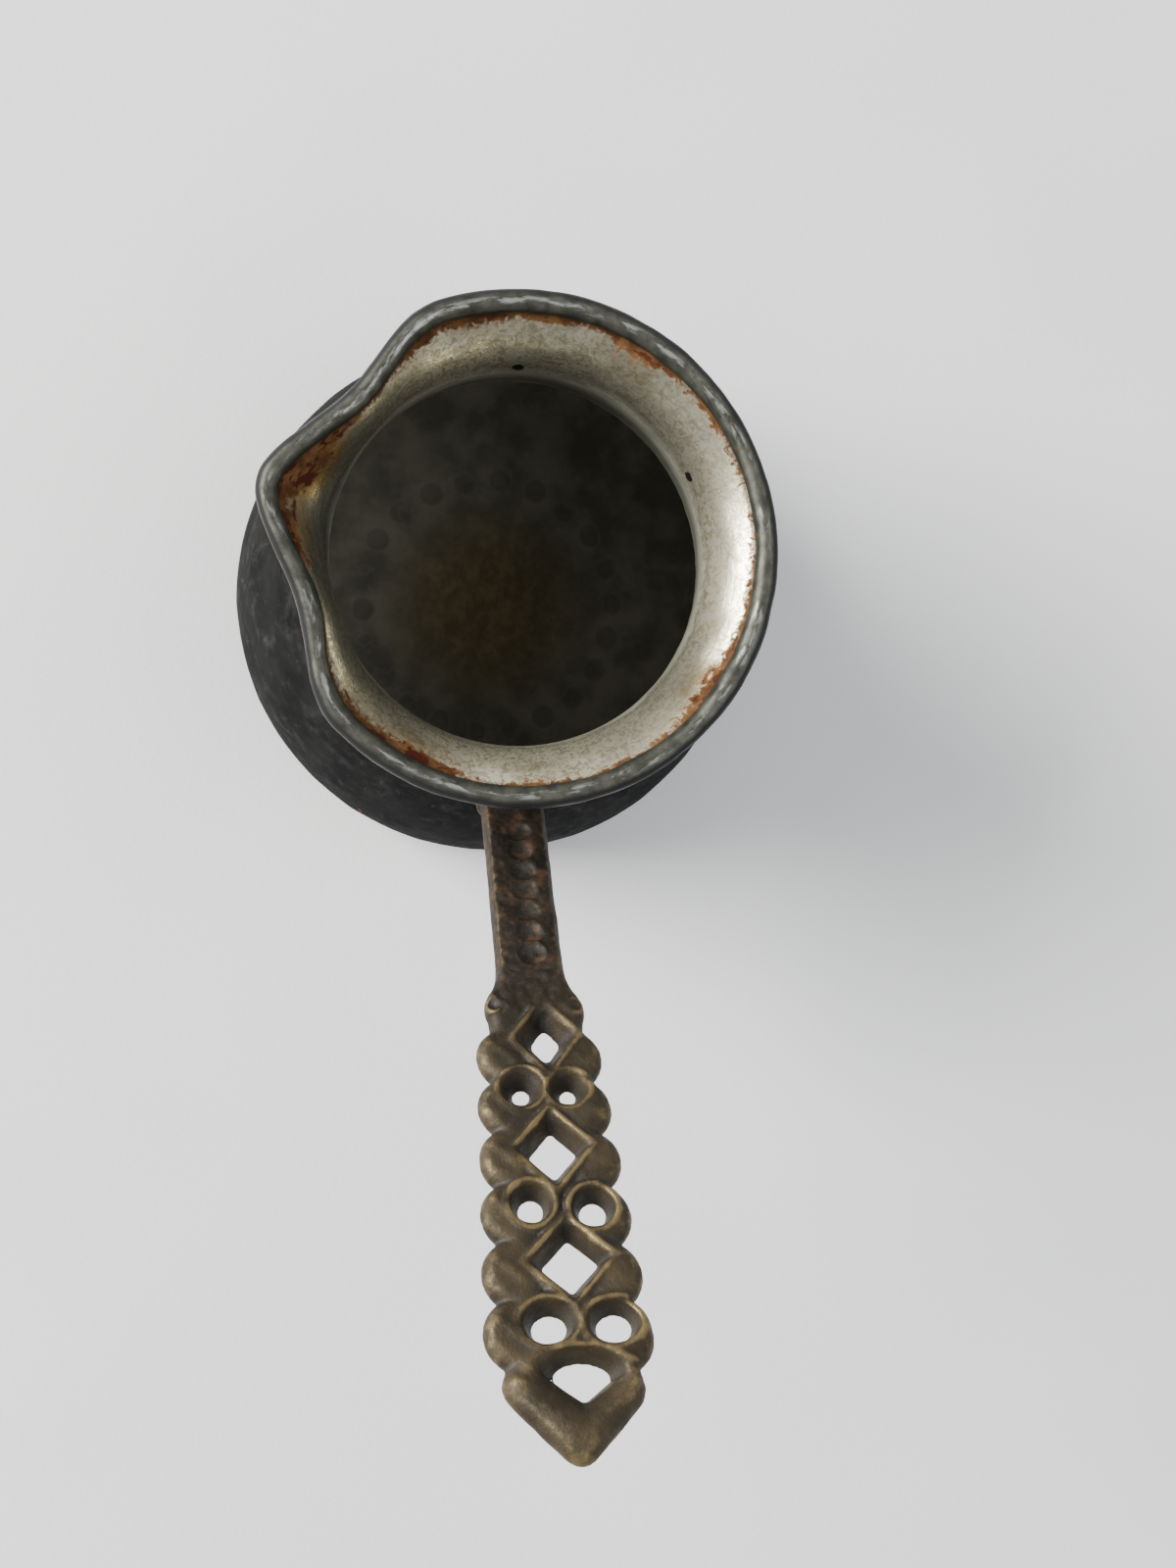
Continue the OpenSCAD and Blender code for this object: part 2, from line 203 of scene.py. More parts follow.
def lip_move(azimuth):
    """The rim's move in or out: two pinches and the beak between them."""
    turn = lip_turn(azimuth)
    pinch = -LIP_PINCH * (1 - np.cos(np.radians(180 * turn / LIP_HALF_ANGLE))) / 2
    beak = LIP_REACH * np.exp(-((turn / BEAK_ANGLE) ** 2))
    return np.where(np.abs(turn) > 2 * LIP_HALF_ANGLE, 0, pinch + beak)


def lip_share(height):
    return np.clip((height - NECK_Z) / (CREASE[1] - NECK_Z), 0, 1) ** LIP_FADE


def wall_arcs(offset, bend, bulge, hollow):
    """The wall's section from the base to the neck, moved outward by offset."""
    angle = math.degrees(OGEE_ANGLE)
    return np.concatenate([
        on_circle([BELLY_R - BEND_R, BEND_R], BEND_R + offset, np.linspace(-90, 0, bend)),
        on_circle(BULGE_CENTRE, BULGE_R + offset, np.linspace(0, angle, bulge)[1:]),
        on_circle(HOLLOW_CENTRE, HOLLOW_R - offset, np.linspace(180 + angle, 180, hollow)[1:]),
    ])


def pot_section():
    """The sheet's whole section, from the middle of the floor up and over the rim to the middle of the base.

    Gives points (radius, height), the share of the lip's move, the kind of face at each point, and the number
    of the point in the crease under the roll."""
    floor_r = BELLY_R - BEND_R
    ring_low, ring_high = MARK_RING_R - 1.4 * MARK_R, MARK_RING_R + 1.4 * MARK_R
    floor = np.concatenate([
        np.linspace(POLE_R, ring_low, 12)[:-1],
        np.linspace(ring_low, ring_high, 15),
        np.linspace(ring_high, floor_r, 8)[1:-1],
    ])
    inside = wall_arcs(-SHEET, 8, 26, 30)
    flare_in = on_circle(FLARE_CENTRE, FLARE_R, np.linspace(180, 180 - FLARE_ANGLE, 16)[1:])
    roll = on_circle(ROLL_CENTRE, ROLL_OUTER_R, np.linspace(CREASE_ANGLE - 20, RAW_EDGE_ANGLE, 24))
    under = on_circle(ROLL_CENTRE, ROLL_INNER_R, np.linspace(RAW_EDGE_ANGLE, CREASE_ANGLE, 12))
    flare_out = on_circle(FLARE_CENTRE, FLARE_R - SHEET, np.linspace(180 - FLARE_ANGLE, 180, 12))
    outside = wall_arcs(0, 8, 26, 24)[::-1][1:]
    base = np.linspace(floor_r, POLE_R, 12)[1:]
    parts = [
        (np.stack([floor, np.full(len(floor), SHEET)], -1), INSIDE),
        (inside, INSIDE),
        (flare_in, INSIDE),
        (roll, ROLL),
        (under, OUTSIDE),
        (flare_out, OUTSIDE),
        (outside, OUTSIDE),
        (np.stack([base, np.zeros(len(base))], -1), OUTSIDE),
    ]
    points = np.concatenate([p for p, _ in parts])
    kind = np.concatenate([np.full(len(p), k) for p, k in parts])
    rolled = np.zeros(len(points), bool)
    start = len(floor) + len(inside) + len(flare_in)
    rolled[start:start + len(roll) + len(under)] = True
    share = np.where(rolled, 1, lip_share(points[:, 1]))
    return points, share, kind, start - 1


def section_normals(points):
    """Unit normals of the section in the (radius, height) plane, pointing out of the metal."""
    along = np.gradient(points, axis=0)
    normal = np.stack([-along[:, 1], along[:, 0]], -1)
    return normal / np.maximum(np.linalg.norm(normal, axis=1, keepdims=True), 1e-9)


def floor_marks(radius, azimuth):
    """Depth of the ring of punched marks, if each point were on the floor."""
    number = np.round(azimuth / 360 * MARK_COUNT)
    chance = lattice_random(number.astype(np.int64) % MARK_COUNT, np.int64(3), np.int64(5), 31)
    uneven = MARK_WANDER * (chance - 0.5)
    ring_r = MARK_RING_R + uneven
    apart = np.radians(azimuth - number * 360 / MARK_COUNT) * ring_r
    reach = np.sqrt(apart**2 + (radius - ring_r) ** 2) / MARK_R
    return np.where(reach < 1, MARK_DEPTH * (1 - reach**2), 0)


def pot_dents(radius, height, kind, azimuth, points):
    """How far the hammer pushed each point into the metal, the floor's marks and the outside's dishes."""
    turn = azimuth / 360
    facets = hammer_dishes(turn, height, columns=34, row_h=8.5, seed=11)
    fine = hammer_dishes(turn, height, columns=58, row_h=4.6, seed=17, shift=0.3)
    wall = (kind == OUTSIDE) & (height > 1) & (height < NECK_Z + 3)
    outside = wall * (FACET_DEPTH * facets + FINE_FACET_DEPTH * fine) * ramp(height, 1, 7)
    ripples = hammer_dishes(turn, height, columns=64, row_h=9.5, seed=23, shift=0.45, jitter=0.55)
    planished = hammer_dishes(turn, height, columns=30, row_h=7, seed=29)
    inner_wall = (kind == INSIDE) & (height > 3) & (height < NECK_Z)
    near_neck = ramp(height, *RIPPLES_FADE_IN) * ramp(height, *RIPPLES_FADE_OUT)
    inside = inner_wall * (PLANISH_DEPTH * planished + RIPPLE_DEPTH * ripples * near_neck)
    on_floor = (kind == INSIDE) & (height < SHEET + 0.01)
    marks = on_floor * floor_marks(radius, azimuth)
    floor_facets = on_floor * 0.08 * (1 + smooth_noise(points, 5.5, 37))
    rolled = kind == ROLL
    roll = rolled * (0.1 * smooth_noise(points, 5.0, 41) + 0.05 * smooth_noise(points, 1.8, 43) - 0.1)
    flare = (kind == INSIDE) & (height >= NECK_Z)
    flare_dents = flare * 0.12 * (1 + smooth_noise(points, 4.0, 47)) * ramp(height, NECK_Z, NECK_Z + 3)
    dent = outside + inside + marks + floor_facets + roll + flare_dents
    return dent, marks / MARK_DEPTH, np.where(height > 1, facets, 1)


# Where rust sits thickest in the crease: azimuth and half width in degrees, and amount
RUST_PLACES = (
    (156, 12, 1.8), (172, 10, 0.9), (98, 30, 0.55), (56, 10, 0.6),
    (-38, 12, 0.75), (-88, 9, 0.5), (-125, 16, 0.85),
)
# Where the tin is brightest, in the same way: partly tin worn clean, partly a painted highlight standing in
# for the key light's glare
WIPED_AND_GLARE_PLACES = ((-6, 24, 1.0), (-98, 36, 1.0), (112, 26, 0.8))
# Small black pits in the tin: azimuth, and place on the section measured from the crease, down being negative
PITS = ((24.0, -10.5), (88.0, -11.5))
PIT_HALF_W = 1.3
PIT_HALF_H = 1.1


def shares(azimuth, places):
    """The largest of several soft bumps round the pot."""
    total = np.zeros(len(azimuth))
    for middle, half, amount in places:
        apart = (azimuth - middle + 540) % 360 - 180
        total = np.maximum(total, amount * np.exp(-((apart / half) ** 2)))
    return total


def pit_shares(azimuth, flow):
    """The largest of the soft spots at the pits."""
    total = np.zeros(len(azimuth))
    for middle, down in PITS:
        apart = np.radians((azimuth - middle + 540) % 360 - 180) * NECK_R
        total = np.maximum(total, np.exp(-((apart / PIT_HALF_W) ** 2) - ((flow - down) / PIT_HALF_H) ** 2))
    return total


def with_poles(values, floor_middle, base_middle):
    """Values at the rings' points, followed by the values at the two poles."""
    return np.concatenate([values, [floor_middle, base_middle]])


def pot_body(material):
    """The whole sheet as one closed mesh: rings of points round the axis, with a point at each pole."""
    section, share, kind, crease = pot_section()
    normals = section_normals(section)
    steps = RING_STEPS
    azimuth = np.arange(steps) * 360 / steps
    count = len(section)
    length = np.concatenate([[0], np.cumsum(np.linalg.norm(np.diff(section, axis=0), axis=1))])
    flow = length - length[crease]
    grid_az = np.tile(azimuth, (count, 1)).ravel()
    move = np.outer(share, lip_move(azimuth)).ravel()
    radius = np.repeat(section[:, 0], steps) + move
    height = np.repeat(section[:, 1], steps)
    kinds = np.repeat(kind, steps)
    turn = np.radians(grid_az)
    points = np.stack([radius * np.cos(turn), radius * np.sin(turn), height], -1)
    dent, marks, dishes = pot_dents(radius, height, kinds, grid_az, points)
    radius = radius - dent * np.repeat(normals[:, 0], steps)
    height = height - dent * np.repeat(normals[:, 1], steps)
    points = np.stack([radius * np.cos(turn), radius * np.sin(turn), height], -1)
    poles = np.array([[0, 0, section[0, 1]], [0, 0, section[-1, 1]]])
    first, last = count * steps, count * steps + 1
    here = np.arange(steps)
    after = (here + 1) % steps
    rows = np.arange(count - 1)[:, None] * steps
    quads = np.stack([rows + here, rows + steps + here, rows + steps + after, rows + after], -1)
    low_fan = np.stack([np.full(steps, first), here, after], -1)
    top = (count - 1) * steps
    high_fan = np.stack([np.full(steps, last), top + after, top + here], -1)
    faces = quads.reshape(-1, 4).tolist() + low_fan.tolist() + high_fan.tolist()
    # Near the beak the tin is painted dull: partly dirt, partly painted shadow
    lip_stain_and_shade = np.exp(-((lip_turn(grid_az) / LIP_STAIN_AND_SHADE_ANGLE) ** 2))
    attributes = {
        "flow": with_poles(np.repeat(flow, steps), flow[0], flow[-1]),
        "skin": with_poles(kinds.astype(float), INSIDE, OUTSIDE),
        "mark": with_poles(marks, 0, 0),
        "dish": with_poles(dishes, 1, 1),
        "rusty": with_poles(shares(grid_az, RUST_PLACES), 0, 0),
        "wiped_and_glare": with_poles(shares(grid_az, WIPED_AND_GLARE_PLACES), 0, 0),
        "pit": with_poles(pit_shares(grid_az, np.repeat(flow, steps)), 0, 0),
        "lip": with_poles(lip_stain_and_shade, 0, 0),
    }
    all_points = np.concatenate([points, poles])
    return mesh_object("pot_body", all_points, np.array(faces, object), attributes, material)


# ---- the casting, as a field that is negative inside the metal ----
# x runs across the handle, u along it from where it leaves the wall, and n out of its front face.
def smooth_max(a, b, k):
    """The larger of two fields, rounded where they cross."""
    h = np.clip(k - np.abs(a - b), 0, None) / k
    return np.maximum(a, b) + h * h * k / 4


def smooth_min(a, b, k):
    return -smooth_max(-a, -b, k)


LOBE_PITCH = 8.3
LOBE_R = 5.2
LOBE_HALF_W = 9.2
LOBE_GROW = 0.38
LOBE_PAIRS = 6
SHOULDER_BACK = 9.5
LAST_LOBE_BACK = 6.8
SHOULDER_U = HANDLE_LEN - SHOULDER_BACK
LAST_LOBE_U = SHOULDER_U - LAST_LOBE_BACK
FIRST_LOBE_U = LAST_LOBE_U - (LOBE_PAIRS - 1) * LOBE_PITCH
BOSS_LOBE_U = FIRST_LOBE_U - LOBE_PITCH
BOSS_LOBE_HALF_W = 7.5
BOSS_LOBE_R = 4.2
PLATE_START_U = 41.0
PLATE_LEAD = 8.0  # a block of the lattice that ends further than this before the small pair has no plate
WEB_HALF_W = 6.8
# Half width of the plate between its scallops, at places along it
WEB_WIDTHS = (
    (PLATE_START_U, 4.9), (46.0, 6.6), (BOSS_LOBE_U, 7.2), (FIRST_LOBE_U, WEB_HALF_W), (SHOULDER_U, 8.0),
)
WEB_LEAN = 0.95  # roughly turns the sideways distance to a slanting edge into the shortest one
ARROW_HALF_W = 10.3
ARROW_OVERRUN = 1.1  # how far past the handle's end its edges would meet, were the tip not rounded
ARROW_SIDE_H = 4.75
ARROW_ROUNDING = 3.1
ARROW_WAIST_ROUNDING = 1.0
FAR = 9.0  # the value of a field where its shape isn't wanted
SKEW = 0.08
DIMPLE_COUNT = 7
DIMPLE_PITCH = 4.05
DIMPLE_START = 14.4
DIMPLE_R = 2.15
DIMPLE_SHIFT = 0.5
DIMPLE_DEPTH = 0.6
# The raised ring round each dimple: its height, then its radius and width as shares of DIMPLE_R
DIMPLE_RING = (0.1, 1.05, 0.16)

# ---- relief of the plate ----
GROUND_TOP = -0.2
GROUND_DROP = 0.85
BORDER_IN = 2.3
BORDER_START_U = 46
PAD_SHIFT = 1.3
CREST_BACK_X, CREST_BACK_U = 1.5, 1.6
CREST_RUN_X, CREST_RUN_U = 3.4, 2.9
CREST_HALF_W = 0.8
CREST_LEFT_H, CREST_RIGHT_H = 0.22, 0.1
RIDGE_OUT = 0.55  # how far the crest of a ridge lies from the edge of its opening
RIDGE_REACH = 1.6
BOSS_X = 6.0
BOSS_RING_R = 1.2
BOSS_PIT_R = 0.6
BOSS_PIT_DEPTH = 0.5


def diamond_field(x, u, half_x, half_u, softness):
    slope = half_x * half_u / math.hypot(half_x, half_u)
    across, down = (smooth_max(v, -v, softness) for v in (x / half_x, u / half_u))
    return (across + down - 1.0) * slope


def ellipse_field(x, u, half_x, half_u):
    return (np.sqrt((x / half_x) ** 2 + (u / half_u) ** 2) - 1) * min(half_x, half_u)


# The openings, each as its middle (x, u), its half sizes (x, u) and how far it narrows towards the back.
# A diamond also has the softness of its corners.
DIAMONDS = (
    (1.2, 53.4, 4.6, 5.9, 2.0, 0.3),
    (0.5, 71.5, 5.3, 5.7, 1.6, 0.12),
    (1.2, 87.9, 5.6, 5.5, 1.4, 0.1),
)
ROUNDS = (
    (-3.1, 61.7, 3.0, 3.0, 2.0), (3.6, 62.3, 2.8, 2.8, 1.85),
    (-3.3, 79.6, 2.9, 3.0, 1.35), (5.1, 80.8, 2.95, 3.0, 1.3),
    (-2.4, 96.2, 3.5, 2.9, 1.2), (6.0, 96.8, 3.5, 2.9, 1.2),
)
BOW_X = 1.2
BOW_U = 102.9
BOW_HALF_W = 5.9
BOW_RISE = 3.1
BOW_POINT = 4.5
BOW_DRAFT = 1.3


def opening_fields(x, u):
    """The front outline of each opening, and how much further in each is at the back."""
    found = [(diamond_field(x - cx, u - cu, half_x, half_u, softness), draft)
             for cx, cu, half_x, half_u, draft, softness in DIAMONDS]
    found += [(ellipse_field(x - cx, u - cu, half_x, half_u), draft)
              for cx, cu, half_x, half_u, draft in ROUNDS]
    across, down = x - BOW_X, u - SKEW * (x - BOW_X) - BOW_U
    arch = ellipse_field(across, down, BOW_HALF_W, BOW_RISE)
    slope = BOW_HALF_W * BOW_POINT / math.hypot(BOW_HALF_W, BOW_POINT)
    sides = smooth_max(across / BOW_HALF_W, -across / BOW_HALF_W, 0.2)
    point = (sides + down / BOW_POINT - 1) * slope
    found.append((smooth_max(np.where(down < 0, arch, -FAR), point, 0.6), BOW_DRAFT))
    return found


def lobes():
    """The middle (x, u) of each scallop, its radius and its side, the smaller pair by the stem last."""
    for i in range(LOBE_PAIRS):
        for side in (-1, 1):
            centre = side * (LOBE_HALF_W + LOBE_GROW * i - LOBE_R)
            yield centre, FIRST_LOBE_U + LOBE_PITCH * i, LOBE_R, side
    for side in (-1, 1):
        yield side * (BOSS_LOBE_HALF_W - BOSS_LOBE_R), BOSS_LOBE_U, BOSS_LOBE_R, side


def slope_line(x, u, start, end):
    """Signed distance to the line from start to end, negative on its left."""
    along = np.subtract(end, start) / math.dist(start, end)
    return (x - start[0]) * along[1] - (u - start[1]) * along[0]


def arrow_field(x, u):
    """The arrow-shaped end: two lower edges that meet at the tip and two short upper ones."""
    corner = (ARROW_HALF_W, SHOULDER_U)
    tip = (0, HANDLE_LEN + ARROW_OVERRUN)
    waist = (WEB_HALF_W, SHOULDER_U - ARROW_SIDE_H)
    low = smooth_max(slope_line(x, u, corner, tip), slope_line(-x, u, corner, tip), ARROW_ROUNDING)
    high = smooth_max(slope_line(x, u, waist, corner), slope_line(-x, u, waist, corner), ARROW_WAIST_ROUNDING)
    return smooth_max(smooth_max(low, high, ARROW_ROUNDING), waist[1] - u, 0.5)


def outline_field(x, u):
    su = u - SKEW * x
    places, half_widths = zip(*WEB_WIDTHS)
    field = (np.abs(x) - np.interp(su, places, half_widths)) * WEB_LEAN
    field = np.maximum(field, np.maximum(PLATE_START_U - su, su - SHOULDER_U))
    for centre, lobe_u, radius, _ in lobes():
        field = smooth_min(field, np.hypot(x - centre, su - lobe_u) - radius, 0.5)
    return smooth_min(field, arrow_field(x, su), 0.5)


def add_scallops(top, x, su):
    """A soft pad on each scallop, with a faint crest that runs across it."""
    for centre, lobe_u, radius, side in lobes():
        out = centre + side * PAD_SHIFT
        bulge = np.hypot((x - out) * 0.8, su - lobe_u) / radius
        top = smooth_max(top, -0.12 - 1.25 * bulge**2, 0.3)
        a, b = x - (out - CREST_BACK_X), su - (lobe_u - CREST_BACK_U)
        step = np.clip((a * CREST_RUN_X + b * CREST_RUN_U) / (CREST_RUN_X**2 + CREST_RUN_U**2), 0, 1)
        crest = np.hypot(a - CREST_RUN_X * step, b - CREST_RUN_U * step)
        strength = CREST_LEFT_H if side < 0 else CREST_RIGHT_H
        top = top + strength * np.exp(-((crest / CREST_HALF_W) ** 2))
    return top


def add_bar(top, su, outline, bow):
    """The thick V bar between the last opening and the outline, highest halfway across."""
    inner = np.clip(bow, 0.01, None)
    outer = np.clip(-outline, 0.01, None)
    across = inner / (inner + outer)
    bar = -0.05 - 3.6 * np.abs(across - 0.5) ** 1.8
    in_bar = ramp(su, BOW_U - 0.6, BOW_U + 1.2)
    return top * (1 - in_bar) + smooth_max(np.where(in_bar > 0, bar, -FAR), top - 2.5, 0.35) * in_bar


def add_bosses(top, x, su):
    """Two small rings with a pit in each, where the stem ends."""
    for side in (-1, 1):
        boss = np.hypot(x - side * BOSS_X, su - BOSS_LOBE_U)
        top = smooth_max(top, -0.02 - 1.3 * (boss - BOSS_RING_R) ** 2, 0.2)
        top = top - BOSS_PIT_DEPTH * np.exp(-((boss / BOSS_PIT_R) ** 2))
    return top


def plate_top(x, u, outline, openings):
    """Height of the plate's relief: a scalloped border, thin ridges round the openings and a thick V bar."""
    su = u - SKEW * x
    top = GROUND_TOP - GROUND_DROP * ramp(u, 45.5, 50.5)
    border = -0.3 - 0.16 * np.abs(-outline - BORDER_IN) ** 1.8
    border = np.where((u > BORDER_START_U) & (su < SHOULDER_U), border, -FAR)
    top = smooth_max(add_scallops(top, x, su), border, 0.4)
    for field, _ in openings:
        ridge = -0.02 - 1.0 * (field - RIDGE_OUT) ** 2
        top = smooth_max(top, np.where(np.abs(field - RIDGE_OUT) < RIDGE_REACH, ridge, -FAR), 0.25)
    bow = openings[-1][0]
    return add_bosses(add_bar(top, su, outline, bow), x, su)


def edge_drop(inside_by, radius):
    """How much a rounded edge has fallen at a distance inside the outline."""
    near = np.clip(radius - inside_by, 0, radius)
    return radius - np.sqrt(np.clip(radius**2 - near**2, 0, None))


def lift(field):
    """A flat field as one that can be used at every depth."""
    return field[:, :, None]


def plate_field(x, u, n):
    """The pierced plate; n is the height above its front face."""
    flat_x, flat_u = x[:, :, 0], u[:, :, 0]
    outline = outline_field(flat_x, flat_u)
    openings = opening_fields(flat_x, flat_u)
    top = plate_top(flat_x, flat_u, outline, openings)
    top = top - edge_drop(-outline, 1.7)
    bottom = -PLATE_T + edge_drop(-outline, 1.3)
    metal = smooth_max(n - lift(top), lift(bottom) - n, 0.5)
    metal = smooth_max(metal, lift(outline), 0.4)
    for field, draft in openings:
        hole = lift(field) + draft * np.clip(-n, 0, None) / PLATE_T
        metal = smooth_max(metal, -hole, 0.3)
    return metal


def stem_field(x, u, n):
    """The six-sided stem, with its row of dimples along the front."""
    widest = 0.45 * STEM_T
    upper = (STEM_HALF_W - STEM_TOP_HALF_W) / widest
    lower = (STEM_HALF_W - STEM_TOP_HALF_W) / (STEM_T - widest)
    side = np.abs(x)
    dimple = np.zeros_like(x[:, :, :1] + u[:, :, :1])
    ring_h, ring_at, ring_width = DIMPLE_RING
    for i in range(DIMPLE_COUNT):
        reach = np.hypot(x - DIMPLE_SHIFT, u - DIMPLE_START - DIMPLE_PITCH * i)[:, :, :1] / DIMPLE_R
        dimple = np.maximum(dimple, np.where(reach < 1, DIMPLE_DEPTH * (1 - reach**2), 0))
        dimple = dimple - ring_h * np.exp(-(((reach - ring_at) / ring_width) ** 2))
    face = n + dimple + 0.006 * x**2
    field = smooth_max(face, side - STEM_TOP_HALF_W + upper * n, 0.45)
    field = smooth_max(field, side - STEM_HALF_W - lower * (n + widest), 0.8)
    field = smooth_max(field, -STEM_T - n, 0.9)
    return smooth_max(field, u - BOSS_LOBE_U - 1.0, 1.5)


def wall_distance(radius, height):
    """Distance outward from the pot's outer face, the same arcs as the wall's own section."""
    bulge = np.hypot(radius - BULGE_CENTRE[0], height - BULGE_CENTRE[1]) - BULGE_R
    hollow = HOLLOW_R - np.hypot(radius - HOLLOW_CENTRE[0], height - HOLLOW_CENTRE[1])
    return np.where(height < OGEE_Z, bulge, hollow)


def outer_radius(height):
    """The pot's outer radius at a height between the bulge and the neck."""
    return HOLLOW_CENTRE[0] - math.sqrt(HOLLOW_R**2 - (NECK_Z - height) ** 2)


# Where the stem leaves the wall, and the directions along the handle, out of its front and across it
ROOT_Z = NECK_Z - ROOT_DROP
ROOT = np.array([STEM_SHIFT, -outer_radius(ROOT_Z), ROOT_Z])
ALONG = np.array([0, -math.cos(RISE), math.sin(RISE)])
OUT = np.array([0, math.sin(RISE), math.cos(RISE)])
SIDE = np.array([1.0, 0, 0])


def palm_field(world):
    """The palm: three rounded pads, one under each rivet, joined by a web that lies on the wall."""
    wx, wy, wz = world
    distance = wall_distance(np.hypot(wx, wy), wz)
    middle = (STEM_SHIFT / 2, ROOT_Z + 1)
    outline = np.full_like(wx, FAR)
    upper_z, lower_z = (NECK_Z - drop for drop in RIVET_DROPS)
    for rivet_x, rivet_z in ((-RIVET_X, upper_z), (RIVET_X, upper_z), (STEM_SHIFT, lower_z)):
        ax, az = rivet_x - middle[0], rivet_z - middle[1]
        share = np.clip(((wx - middle[0]) * ax + (wz - middle[1]) * az) / (ax**2 + az**2), 0, 1)
        arm = np.hypot(wx - middle[0] - share * ax, wz - middle[1] - share * az) - PALM_PAD_R
        outline = smooth_min(outline, arm, 5.0)
    field = smooth_max(distance - PALM_T, outline, 1.2)
    return np.where(wy < 0, field, FAR)


def casting_field(x, u, n):
    """The whole handle at the lattice's points, given as arrays that broadcast together."""
    x, u, n = np.broadcast_arrays(x, u, n)
    metal = stem_field(x, u, n)
    if u.max() > BOSS_LOBE_U - PLATE_LEAD:
        metal = smooth_min(metal, plate_field(x, u, n), 0.7)
    if u.min() < PALM_REACH_U:
        world = [ROOT[i] + x * SIDE[i] + u * ALONG[i] + n * OUT[i] for i in range(3)]
        radius = np.hypot(world[0], world[1])
        metal = smooth_min(metal, palm_field(world), 4.0)
        metal = smooth_max(metal, -wall_distance(radius, world[2]), 0.15)
    return metal


def surface_net(field, low, step):
    """Quads that follow the zero of a field on a lattice: one point in each cell that the surface crosses."""
    inside = field < 0
    total = np.zeros(tuple(s - 1 for s in field.shape) + (3,), np.float32)
    hits = np.zeros(total.shape[:3], np.int8)
    shape = total.shape[:3]
    quads = []
    for axis in range(3):
        lower = [slice(None)] * 3
        upper = [slice(None)] * 3
        lower[axis], upper[axis] = slice(None, -1), slice(1, None)
        a, b = field[tuple(lower)], field[tuple(upper)]
        where = np.argwhere(inside[tuple(lower)] != inside[tuple(upper)])
        va, vb = a[tuple(where.T)], b[tuple(where.T)]
        crossing = where.astype(np.float32)
        crossing[:, axis] += va / (va - vb)
        one, two = [k for k in range(3) if k != axis]
        cells = []
        for d1, d2 in ((1, 1), (0, 1), (0, 0), (1, 0)):
            cell = where.copy()
            cell[:, one] -= d1
            cell[:, two] -= d2
            np.add.at(total, tuple(cell.T), crossing)
            np.add.at(hits, tuple(cell.T), 1)
            cells.append(np.ravel_multi_index(tuple(cell.T), shape))
        ring = np.stack(cells, -1)
        flip = (va > 0) ^ (axis == 1)
        ring[flip] = ring[flip][:, ::-1]
        quads.append(ring)
    quads = np.concatenate(quads)
    used, faces = np.unique(quads, return_inverse=True)
    spots = np.unravel_index(used, shape)
    points = total[spots] / hits[spots][:, None]
    return low + points * step, faces.reshape(-1, 4)


def neighbour_mean(points, ends, counts):
    """The mean of each point's neighbours along the mesh's edges."""
    total = np.stack([np.bincount(ends[:, 0], points[ends[:, 1], k], len(points)) for k in range(3)], -1)
    return total / counts[:, None]


def vertex_normals(points, faces):
    """Unit normals, each the mean over the faces round a point."""
    normal = np.cross(points[faces[:, 2]] - points[faces[:, 0]], points[faces[:, 3]] - points[faces[:, 1]])
    total = np.stack([
        sum(np.bincount(faces[:, c], normal[:, k], len(points)) for c in range(4)) for k in range(3)
    ], -1)
    return total / np.maximum(np.linalg.norm(total, axis=1, keepdims=True), 1e-12)


def relief_of(points, faces, normals, rounds):
    """How far each point stands above the surface around it, in millimetres; hollows are negative."""
    edges = np.concatenate([faces[:, [k, (k + 1) % 4]] for k in range(4)])
    ends = np.concatenate([edges, edges[:, ::-1]])
    counts = np.maximum(np.bincount(ends[:, 0], minlength=len(points)), 1)
    mean = points.copy()
    for _ in range(rounds):
        mean = neighbour_mean(mean, ends, counts)
    return ((points - mean) * normals).sum(1)


LATTICE = 0.27
CASTING_LOW = np.array([-17.0, -27.0, -24.0])
CASTING_HIGH = np.array([19.5, 118.0, 11.0])
# Past THIN_U there is only stem and plate, which lie within these spans
THIN_U = 13
THIN_X = (-14, 14)
THIN_N = (-7, 2)


def lattice_index(place, axis):
    return int((place - CASTING_LOW[axis]) / LATTICE)


def casting(material):
    """The handle as one mesh, with the sand's grain on the stem and an uneven surface all over."""
    low = CASTING_LOW
    counts = (CASTING_HIGH - low) // LATTICE
    x, u, n = (low[k] + LATTICE * np.arange(int(counts[k])) for k in range(3))
    field = np.full((len(x), len(u), len(n)), 5.0, np.float32)
    split = lattice_index(THIN_U, 1)
    thin_n = slice(lattice_index(THIN_N[0], 2), lattice_index(THIN_N[1], 2))
    thin_x = slice(lattice_index(THIN_X[0], 0), lattice_index(THIN_X[1], 0))
    field[:, :split, :] = casting_field(x[:, None, None], u[None, :split, None], n[None, None, :])
    field[thin_x, split:, thin_n] = casting_field(
        x[thin_x, None, None], u[None, split:, None], n[None, None, thin_n])
    points, faces = surface_net(field, low, LATTICE)
    normals = vertex_normals(points, faces)
    along, upward = points[:, 1], normals[:, 2]
    on_stem_top = ramp(upward, 0.6, 0.9) * ramp(along, 52, 44)
    grain = smooth_noise(points, 0.8, 53) * 0.09 * on_stem_top
    wobble = 0.1 * smooth_noise(points, 4.5, 59) + 0.05 * smooth_noise(points, 1.7, 61) - 0.08
    points = points + normals * (grain + wobble)[:, None]
    normals = vertex_normals(points, faces)
    fine, broad = relief_of(points, faces, normals, 6), relief_of(points, faces, normals, 40)
    world = ROOT + points[:, :1] * SIDE + points[:, 1:2] * ALONG + points[:, 2:3] * OUT
    attributes = {"along": along, "fine_relief": fine, "broad_relief": broad}
    # SIDE, ALONG and OUT are left-handed, so the faces turn over on the way to the shared frame
    return mesh_object("handle_casting", world, faces[:, ::-1], attributes, material)


